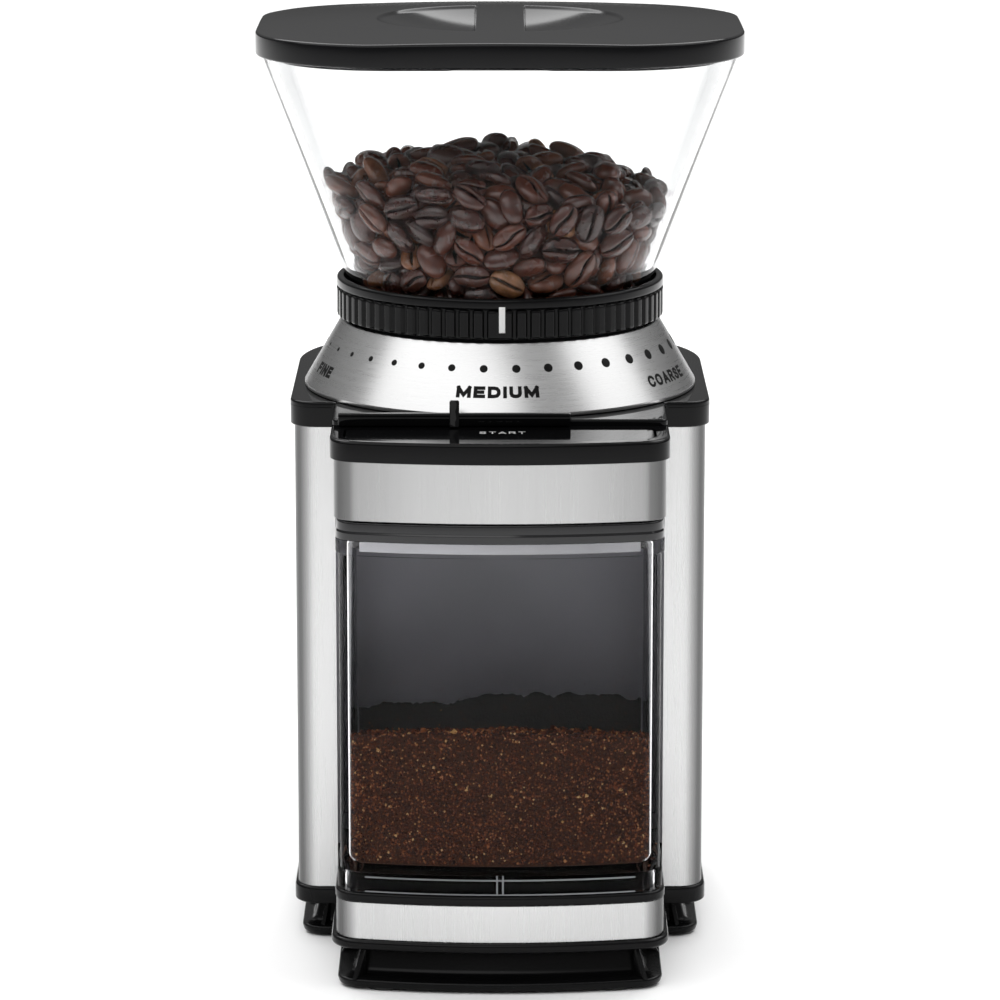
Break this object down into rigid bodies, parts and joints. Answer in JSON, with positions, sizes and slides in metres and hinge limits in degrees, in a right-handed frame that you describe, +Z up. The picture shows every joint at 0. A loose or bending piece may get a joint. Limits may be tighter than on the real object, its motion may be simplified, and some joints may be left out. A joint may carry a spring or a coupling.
{
  "type": "burr coffee grinder",
  "caption": "Countertop burr coffee grinder with a flared clear bean hopper, turning grind ring, brushed collar, start bar, cup slider and a pull-out smoked grounds chamber.",
  "frame": {"origin": "centre of the overall box on the worktop plane; the Z axis is the burr axis", "axes": "+Z up, the front with the chamber and controls faces -Y, +X to the right seen from the front"},
  "size_m": [0.144, 0.18, 0.273],
  "materials": {
    "black_plastic": "fine-textured moulded ABS",
    "gloss_black": "polished moulded ABS",
    "rubber": "moulded rubber",
    "bright_steel": "machined, bright",
    "brushed_steel": "vertical brushed grain",
    "collar_steel": "circular brushed grain",
    "grey_plastic": "glass-filled nylon",
    "bronze": "sintered bronze",
    "iron": "laminated electrical steel",
    "copper": "varnished copper",
    "cast_alloy": "die cast",
    "brown_plastic": "phenolic",
    "carbon": "pressed carbon",
    "board_green": "solder-masked board",
    "component_plastic": "moulded components",
    "tin_plate": "tinned steel can",
    "burr_steel": "hardened ground steel",
    "red_plastic": "moulded nylon",
    "clear_plastic": "clear moulded, polished",
    "white_mark": "moulded-in line",
    "nylon": "natural nylon",
    "smoked_plastic": "smoked transparent, polished",
    "smoked_black": "dark smoked, polished"
  },
  "bodies": {
    "housing": {"base_tray": "black_plastic", "foot_skirt": "gloss_black", "rubber_feet": "rubber", "bottom_plate": "black_plastic", "bottom_screws": "bright_steel", "front_band": "brushed_steel", "steel_wrap": "brushed_steel", "inner_frame": "black_plastic", "bay_liner": "black_plastic", "rear_cover": "black_plastic", "rear_screws": "bright_steel", "cord_gland": "rubber", "head_shell": "gloss_black", "head_band": "brushed_steel", "top_deck": "gloss_black", "dial_collar": "collar_steel", "mill_housing": "grey_plastic", "gearbox_cover": "grey_plastic", "burr_bearings": "bronze", "motor_stator": "iron", "field_coils": "copper", "upper_end_bell": "cast_alloy", "lower_end_bell": "cast_alloy", "brush_holders": "brown_plastic", "carbon_brushes": "carbon", "motor_bearings": "bronze", "motor_mounts": "rubber", "timer_board": "board_green", "board_parts": "component_plastic", "slide_potentiometer": "tin_plate", "start_switch": "component_plastic", "button_spring": "bright_steel", "chamber_switch": "component_plastic"},
    "start_bar": {"start_bar": "gloss_black"},
    "cup_slider": {"cup_slider": "gloss_black"},
    "adjuster": {"grind_adjust_ring": "grey_plastic"},
    "upper_burr": {"upper_burr": "burr_steel", "upper_burr_carrier": "red_plastic", "upper_burr_screws": "bright_steel"},
    "hopper": {"hopper": "clear_plastic", "hopper_ring": "gloss_black", "indicator_mark": "white_mark"},
    "hopper_lid": {"hopper_lid": "gloss_black"},
    "burr_drive": {"lower_burr": "burr_steel", "burr_carrier": "grey_plastic", "lower_burr_screws": "bright_steel", "burr_shaft": "bright_steel", "drive_gear": "nylon", "feed_auger": "bright_steel"},
    "rotor": {"motor_shaft": "bright_steel", "armature": "iron", "armature_windings": "copper", "commutator": "copper", "pinion": "bright_steel", "cooling_fan": "nylon"},
    "chamber": {"chamber": "smoked_plastic", "chamber_lid": "smoked_black"}
  },
  "joints": [
    {"name": "grind_turn", "type": "hinge", "parent": "housing", "child": "adjuster", "pos_m": [0, 0, 0.175], "axis": [0, 0, 1], "range_deg": [-89.25, 89.25]},
    {"name": "burr_height", "type": "slide", "parent": "adjuster", "child": "upper_burr", "axis": [0, 0, 1], "range_m": [-0.0004, 0.0004]},
    {"name": "hopper_lift", "type": "slide", "parent": "adjuster", "child": "hopper", "axis": [0, 0, 1], "range_m": [0, 0.09]},
    {"name": "lid_lift", "type": "slide", "parent": "hopper", "child": "hopper_lid", "axis": [0, 0, 1], "range_m": [0, 0.05]},
    {"name": "start_press", "type": "slide", "parent": "housing", "child": "start_bar", "axis": [0, 0, -1], "range_m": [0, 0.0015], "stiffness_N_per_m": 400, "springref_m": -0.003, "deforming": ["button_spring"]},
    {"name": "cup_slide", "type": "slide", "parent": "housing", "child": "cup_slider", "axis": [1, 0, 0], "range_m": [0, 0.026]},
    {"name": "chamber_slide", "type": "slide", "parent": "housing", "child": "chamber", "axis": [0, -1, 0], "range_m": [0, 0.08]},
    {"name": "motor_spin", "type": "hinge", "parent": "housing", "child": "rotor", "pos_m": [0, 0.03, 0.09], "axis": [0, 0, 1], "continuous": true},
    {"name": "burr_spin", "type": "hinge", "parent": "housing", "child": "burr_drive", "pos_m": [0, 0, 0.15], "axis": [0, 0, 1], "continuous": true}
  ],
  "couplings": [
    {"joint": "burr_height", "follows": "grind_turn", "m_per_rad": 0.00023873},
    {"joint": "burr_spin", "follows": "motor_spin", "ratio": -0.33333}
  ]
}
